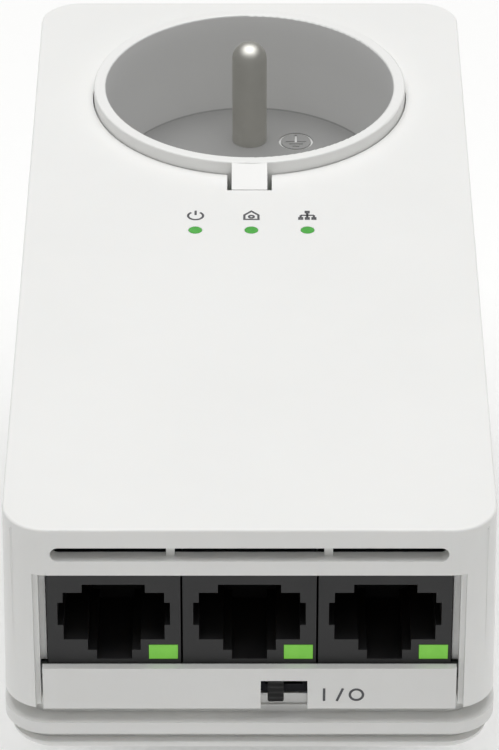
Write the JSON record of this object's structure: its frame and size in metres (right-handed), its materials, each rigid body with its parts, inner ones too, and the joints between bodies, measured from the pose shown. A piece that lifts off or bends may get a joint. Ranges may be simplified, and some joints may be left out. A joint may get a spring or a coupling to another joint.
{
  "type": "powerline adapter",
  "caption": "Plug-through powerline network adapter: wall plug behind, mains outlet and lights on the face, network ports and slide switch on the end.",
  "frame": {"origin": "midway between the two line pins, on the plug's face that meets the wall outlet", "axes": "+Z out of the wall towards the top face, -Y towards the network ports, +X to the right when looking at the top face with the ports nearest"},
  "size_m": [0.0594, 0.13, 0.0715],
  "materials": {
    "cover_plastic": "fine satin moulding, cool white",
    "housing_plastic": "fine matt moulding, cool white",
    "block_plastic": "heat-resistant moulding, near black",
    "shutter_plastic": "smooth grey moulding",
    "black_plastic": "fine matt moulding, black",
    "green_guide": "clear tinted moulding, lit green",
    "port_green": "clear tinted moulding, lit yellow-green",
    "led_lens": "clear epoxy over a light-emitting chip",
    "screw_steel": "zinc-plated steel",
    "spring_steel": "drawn stainless wire",
    "frame_steel": "tinned sheet",
    "blackened_steel": "black oxide sheet",
    "nickel_plate": "nickel-plated brass, satin",
    "contact_brass": "stamped strip",
    "gold_plate": "gold-plated wire",
    "board_laminate": "glass-epoxy laminate under green solder resist",
    "chip_resin": "moulded epoxy, dark",
    "pad_rubber": "soft silicone pad",
    "sink_aluminium": "extruded and anodised",
    "ferrite": "sintered ferrite, ground",
    "winding_tape": "polyester tape over enamelled wire",
    "copper_wire": "enamelled copper wire",
    "capacitor_sleeve": "shrink sleeve over an aluminium can",
    "film_box": "moulded flame-retardant box",
    "fuse_tube": "drawn glass",
    "varistor_resin": "dipped epoxy, blue"
  },
  "bodies": {
    "housing": {"front_cover": "cover_plastic", "rear_housing": "housing_plastic", "housing_screws": "screw_steel", "outlet_insert": "cover_plastic", "outlet_screws": "screw_steel", "outlet_earth_pin": "nickel_plate", "contact_block": "block_plastic", "contact_block_screws": "screw_steel", "shutter_spring": "spring_steel", "plug_body": "housing_plastic", "plug_screws": "screw_steel", "plug_pin_left": "nickel_plate", "plug_pin_right": "nickel_plate", "line_contact_left": "contact_brass", "line_contact_right": "contact_brass", "plug_earth_clips": "nickel_plate", "plug_earth_sleeve": "contact_brass", "earth_strap": "contact_brass", "main_board": "board_laminate", "board_screws": "screw_steel", "switch_base": "black_plastic", "switch_frame": "blackened_steel", "indicator_leds": "led_lens", "light_guide": "green_guide", "processor": "chip_resin", "thermal_pad": "pad_rubber", "heat_sink": "sink_aluminium", "network_chip": "chip_resin", "memory_chip": "chip_resin", "crystal": "frame_steel", "transformer_core": "ferrite", "transformer_winding": "winding_tape", "choke_core": "ferrite", "choke_windings": "copper_wire", "storage_capacitors": "capacitor_sleeve", "film_capacitor": "film_box", "fuse_glass": "fuse_tube", "fuse_caps": "nickel_plate", "varistor": "varistor_resin", "rectifier": "chip_resin", "coupling_transformer": "chip_resin", "port_housing_left": "black_plastic", "port_light_left": "port_green", "port_wires_left": "gold_plate", "port_housing_middle": "black_plastic", "port_light_middle": "port_green", "port_wires_middle": "gold_plate", "port_housing_right": "black_plastic", "port_light_right": "port_green", "port_wires_right": "gold_plate"},
    "shutter": {"safety_shutter": "shutter_plastic"},
    "knob": {"switch_knob": "black_plastic"}
  },
  "joints": [
    {"name": "shutter_slide", "type": "slide", "parent": "housing", "child": "shutter", "axis": [0, -1, 0], "range_m": [0, 0.0065], "stiffness_N_per_m": 40, "springref_m": -0.004, "deforming": ["shutter_spring"]},
    {"name": "switch_slide", "type": "slide", "parent": "housing", "child": "knob", "axis": [1, 0, 0], "range_m": [0, 0.002]}
  ]
}
